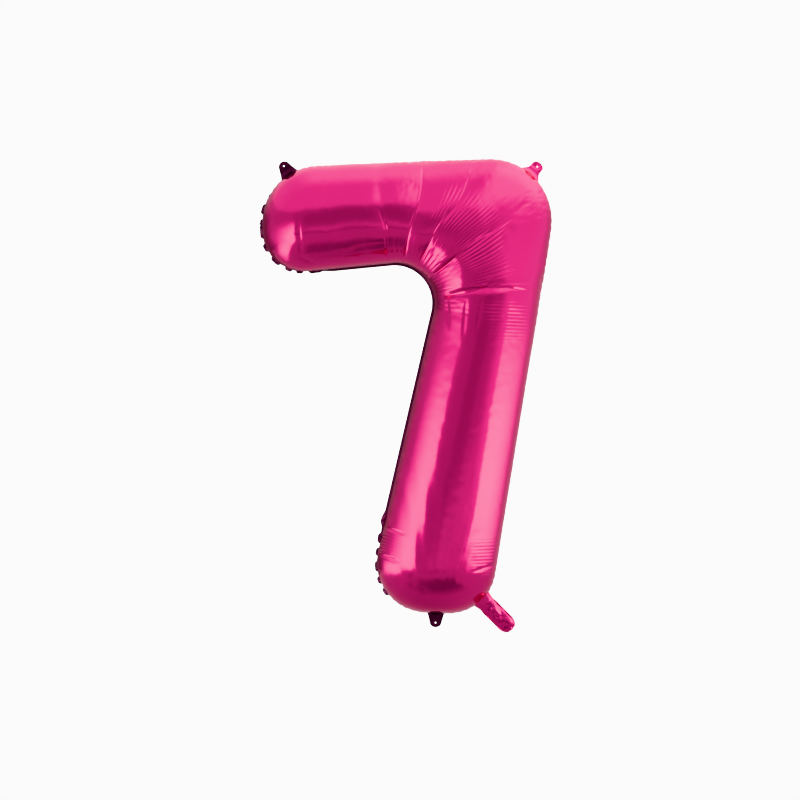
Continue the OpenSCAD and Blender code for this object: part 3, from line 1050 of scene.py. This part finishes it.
def object_coords(tree):
    return add_node(tree, "TexCoord").outputs["Object"]


def noise(tree, scale, detail, rough=0.5):
    node = add_node(
        tree, "TexNoise", Vector=object_coords(tree), Scale=scale, Detail=detail, Roughness=rough
    )
    return node.outputs["Fac"]


def ramp(tree, value, low, high, dark, light):
    node = add_node(tree, "ValToRGB", Fac=value)
    for element, position, color in zip(node.color_ramp.elements, (low, high), (dark, light)):
        element.position = position
        element.color = (*color, 1)
    return node.outputs["Color"]


def spread(tree, value, low, high):
    return add_node(tree, "MapRange", Value=value, To_Min=low, To_Max=high).outputs["Result"]


def bump(tree, height, strength, distance, **under):
    node = add_node(tree, "Bump", Height=height, Strength=strength, Distance=distance, **under)
    return node.outputs["Normal"]


def foil_material():
    """Metallised film under a magenta lacquer: a mirror, faintly mottled and finely wavy."""
    material, tree, shader = new_material("magenta_foil")
    mottle = noise(tree, 9.0, 3.0)
    smudge = noise(tree, 23.0, 4.0, 0.6)
    wavy = bump(tree, noise(tree, 55.0, 2.0, 0.4), 0.12, 0.0012)
    grain = noise(tree, 900.0, 2.0)
    fill(
        tree, shader,
        Base_Color=ramp(tree, mottle, 0.35, 0.7, (0.75, 0.019, 0.205), (0.80, 0.024, 0.222)),
        Roughness=spread(tree, smudge, 0.12, 0.20),
        Normal=bump(tree, grain, 0.05, 0.00008, Normal=wavy),
        Metallic=1.0, Specular_Tint=(0.95, 0.22, 0.50, 1),
        Coat_Weight=0.8, Coat_Roughness=0.10, Coat_IOR=1.5,
    )
    return material


def weld_painted_shade_material():
    """The same film where it is welded: flatter, a little duller, with the heat bar's fine lines, and its
    colour painted much darker than the foil's as painted shade.
    """
    material, tree, shader = new_material("welded_foil_painted_shade")
    mottle = noise(tree, 140.0, 3.0)
    lines = add_node(tree, "TexWave", Vector=object_coords(tree), Scale=190.0, Distortion=1.5, Detail=1.0)
    lines.bands_direction = "DIAGONAL"
    lined = bump(tree, lines.outputs["Fac"], 0.25, 0.0002)
    crumple = noise(tree, 210.0, 2.0)
    fill(
        tree, shader,
        # Base colour far darker than the foil's: painted shade, since the welded film is the same foil as the
        # body
        Base_Color=ramp(tree, mottle, 0.3, 0.75, (0.045, 0.006, 0.024), (0.11, 0.011, 0.046)),
        Roughness=spread(tree, mottle, 0.20, 0.36),
        Normal=bump(tree, crumple, 0.15, 0.0004, Normal=lined),
        Metallic=1.0, Specular_Tint=(0.60, 0.20, 0.35, 1),
        Coat_Weight=0.25, Coat_Roughness=0.2,
    )
    return material


def clear_material():
    """Clear polyethylene film of the valve, faintly clouded."""
    material, tree, shader = new_material("clear_valve_film")
    cloud = noise(tree, 60.0, 3.0)
    fill(
        tree, shader,
        Base_Color=ramp(tree, cloud, 0.3, 0.8, (0.80, 0.83, 0.87), (0.90, 0.92, 0.94)),
        Roughness=spread(tree, cloud, 0.08, 0.25),
        Normal=bump(tree, noise(tree, 300.0, 2.0), 0.2, 0.0004),
        Alpha=0.5,
    )
    return material


foil_look = foil_material()
weld_painted_shade_look = weld_painted_shade_material()
clear_look = clear_material()


def paint(piece, material):
    piece.data.materials.clear()
    piece.data.materials.append(material)


for piece in (front_foil, back_foil, neck_front, neck_back, neck_sides, tab_right):
    paint(piece, foil_look)
# The weld band and the left and low tabs take the darkened weld material as painted shade, while the right
# tab, the same film, takes the foil
for piece in (weld_band, tab_left, tab_low):
    paint(piece, weld_painted_shade_look)
for name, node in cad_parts.items():
    if name.startswith("valve_"):
        paint(node, clear_look)

# ---- what rides on what
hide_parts("front_panel")
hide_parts("back_panel")
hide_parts("edge_weld")
for piece in (front_foil, back_foil, weld_band):
    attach(piece, "balloon")

# Each tab's and the neck's placement, already in world space, is written into its mesh
for piece, (_, body, root, direction, *_) in zip((tab_left, tab_right, tab_low), tabs):
    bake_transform(piece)
for piece in (neck_front, neck_back, neck_sides):
    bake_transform(piece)


# ---- studio
# The photo's framing: what its square shows, and where its middle is
view_width = 1.4732
view_x = -0.2527
view_z = -0.4294
camera_away = 3.0

floor_z = -0.94
floor = add_piece("floor", np.array([
    [-1.6, -1.4, floor_z], [1.2, -1.4, floor_z], [1.2, 1.4, floor_z], [-1.6, 1.4, floor_z],
]), [(0, 1, 2, 3)])
floor_look, floor_tree, floor_shader = new_material("pale_floor")
fill(floor_tree, floor_shader, Base_Color=(0.40, 0.40, 0.40, 1), Roughness=0.9)
paint(floor, floor_look)


def panel_light(name, place, aim, width, height, strength, low_fade=0.55, near_side=1):
    """A soft panel that only reflections show, crisp at its near side, fading out to the others."""
    w, h = width / 2, height / 2
    panel = add_piece(name, np.array([[-w, -h, 0], [w, -h, 0], [w, h, 0], [-w, h, 0]]), [(0, 1, 2, 3)])
    panel.location = place
    panel.rotation_euler = (Vector(aim) - Vector(place)).to_track_quat("-Z", "Y").to_euler()
    panel.visible_camera = False
    panel.visible_shadow = False
    panel.visible_diffuse = False
    material, tree, shader = new_material(name)
    tree.nodes.remove(shader)
    split = add_node(tree, "SeparateXYZ", Vector=object_coords(tree))
    near = step_node(tree, split.outputs["X"], near_side * w, near_side * w * 0.82)
    far = step_node(tree, split.outputs["X"], -near_side * w, near_side * w * 0.3)
    up = step_node(tree, split.outputs["Y"], h, h * 0.1)
    down = step_node(tree, split.outputs["Y"], -h, -h * (1 - low_fade))
    share = near
    for other in (far, up, down):
        share = math_node(tree, "MULTIPLY", share, other)
    glow = add_node(tree, "Emission", Strength=strength)
    mix_shaders(tree, share, add_node(tree, "BsdfTransparent"), glow, "Material Output")
    paint(panel, material)


# What the film mirrors: panels beside the leg, one low on the left for the bar's end, one in front for
# the middle, and a darker card on the floor for the foot
card_z = floor_z + 0.02
panel_light("panel_left", place=(-0.85, -0.335, -0.46), aim=(0, -0.335, -0.46),
            width=1.05, height=0.78, strength=3.2, low_fade=0.30)
panel_light("panel_right", place=(0.50, -0.080, -0.62), aim=(0, -0.080, -0.62),
            width=1.05, height=0.56, strength=3.5, near_side=-1)
panel_light("panel_low", place=(-0.97, 0.07, -0.76), aim=(-0.47, 0, -0.14),
            width=0.90, height=0.44, strength=3.0)
panel_light("panel_front", place=(-0.20, -1.60, -0.72), aim=(-0.20, 0, -0.72),
            width=2.40, height=0.42, strength=0.82)
panel_light("shade_card", place=(-0.28, -0.42, card_z), aim=(-0.28, -0.36, 0),
            width=0.84, height=0.60, strength=0.24)

world = bpy.data.worlds.new("studio")
scene.world = world
world.use_nodes = True
sky = world.node_tree


def sky_step(axis, *limits):
    """A smooth step over the direction's x, y or z: from, to, value before, value after."""
    return step_node(sky, split.outputs[axis], *limits)


def product(*factors):
    return math_node(sky, "MULTIPLY", *factors)


# The room: a dark front, where the photographer stands, and pale ceiling, sides and back
toward = add_node(sky, "TexCoord").outputs["Generated"]
split = add_node(sky, "SeparateXYZ", Vector=toward)
ceiling = sky_step("Z", 0.26, 0.40, 0.0, 0.48)
overhead = product(sky_step("Y", -0.40, 0.15, 0.0, 0.65), sky_step("Z", 0.15, 0.50, 0.0, 1.0))
overhead = product(overhead, sky_step("X", -0.50, 0.0, 0.1, 1.0))
window = product(sky_step("X", 0.05, 0.35, 0.0, 0.75), sky_step("Z", 0.30, 0.60, 0.0, 1.0))
sides = product(sky_step("Y", -0.93, -0.70, 0.0, 0.54), sky_step("X", -0.20, 0.30, 0.2, 1.0))
behind = product(sky_step("Y", 0.25, 0.80, 0.0, -0.42), sky_step("Z", 0.05, 0.25, 1.0, 0.0))
below = sky_step("Z", -0.65, -0.30, -0.26, 0.0)
lens = sky_step("Y", -0.995, -0.955, -0.12, 0.0)
ambient = 0.54
room = math_node(sky, "MAXIMUM", ceiling, sides)
for part in (overhead, window, behind, below, lens, ambient):
    room = math_node(sky, "ADD", room, part)
sky_light = fill(sky, sky.nodes["Background"], Color=(1, 1, 1, 1), Strength=room)
# The camera itself sees plain white
backdrop = add_node(sky, "Background", Color=(1, 1, 1, 1), Strength=2.2)
for_camera = add_node(sky, "LightPath").outputs["Is Camera Ray"]
mix_shaders(sky, for_camera, sky_light, backdrop, "World Output")

camera_data = bpy.data.cameras.new("camera")
camera_data.type = "ORTHO"
camera_data.ortho_scale = view_width
camera = bpy.data.objects.new("camera", camera_data)
scene.collection.objects.link(camera)
camera.location = (view_x, -camera_away, view_z)
camera.rotation_euler = (math.pi / 2, 0, 0)
scene.camera = camera
scene.view_settings.view_transform = "Khronos PBR Neutral"
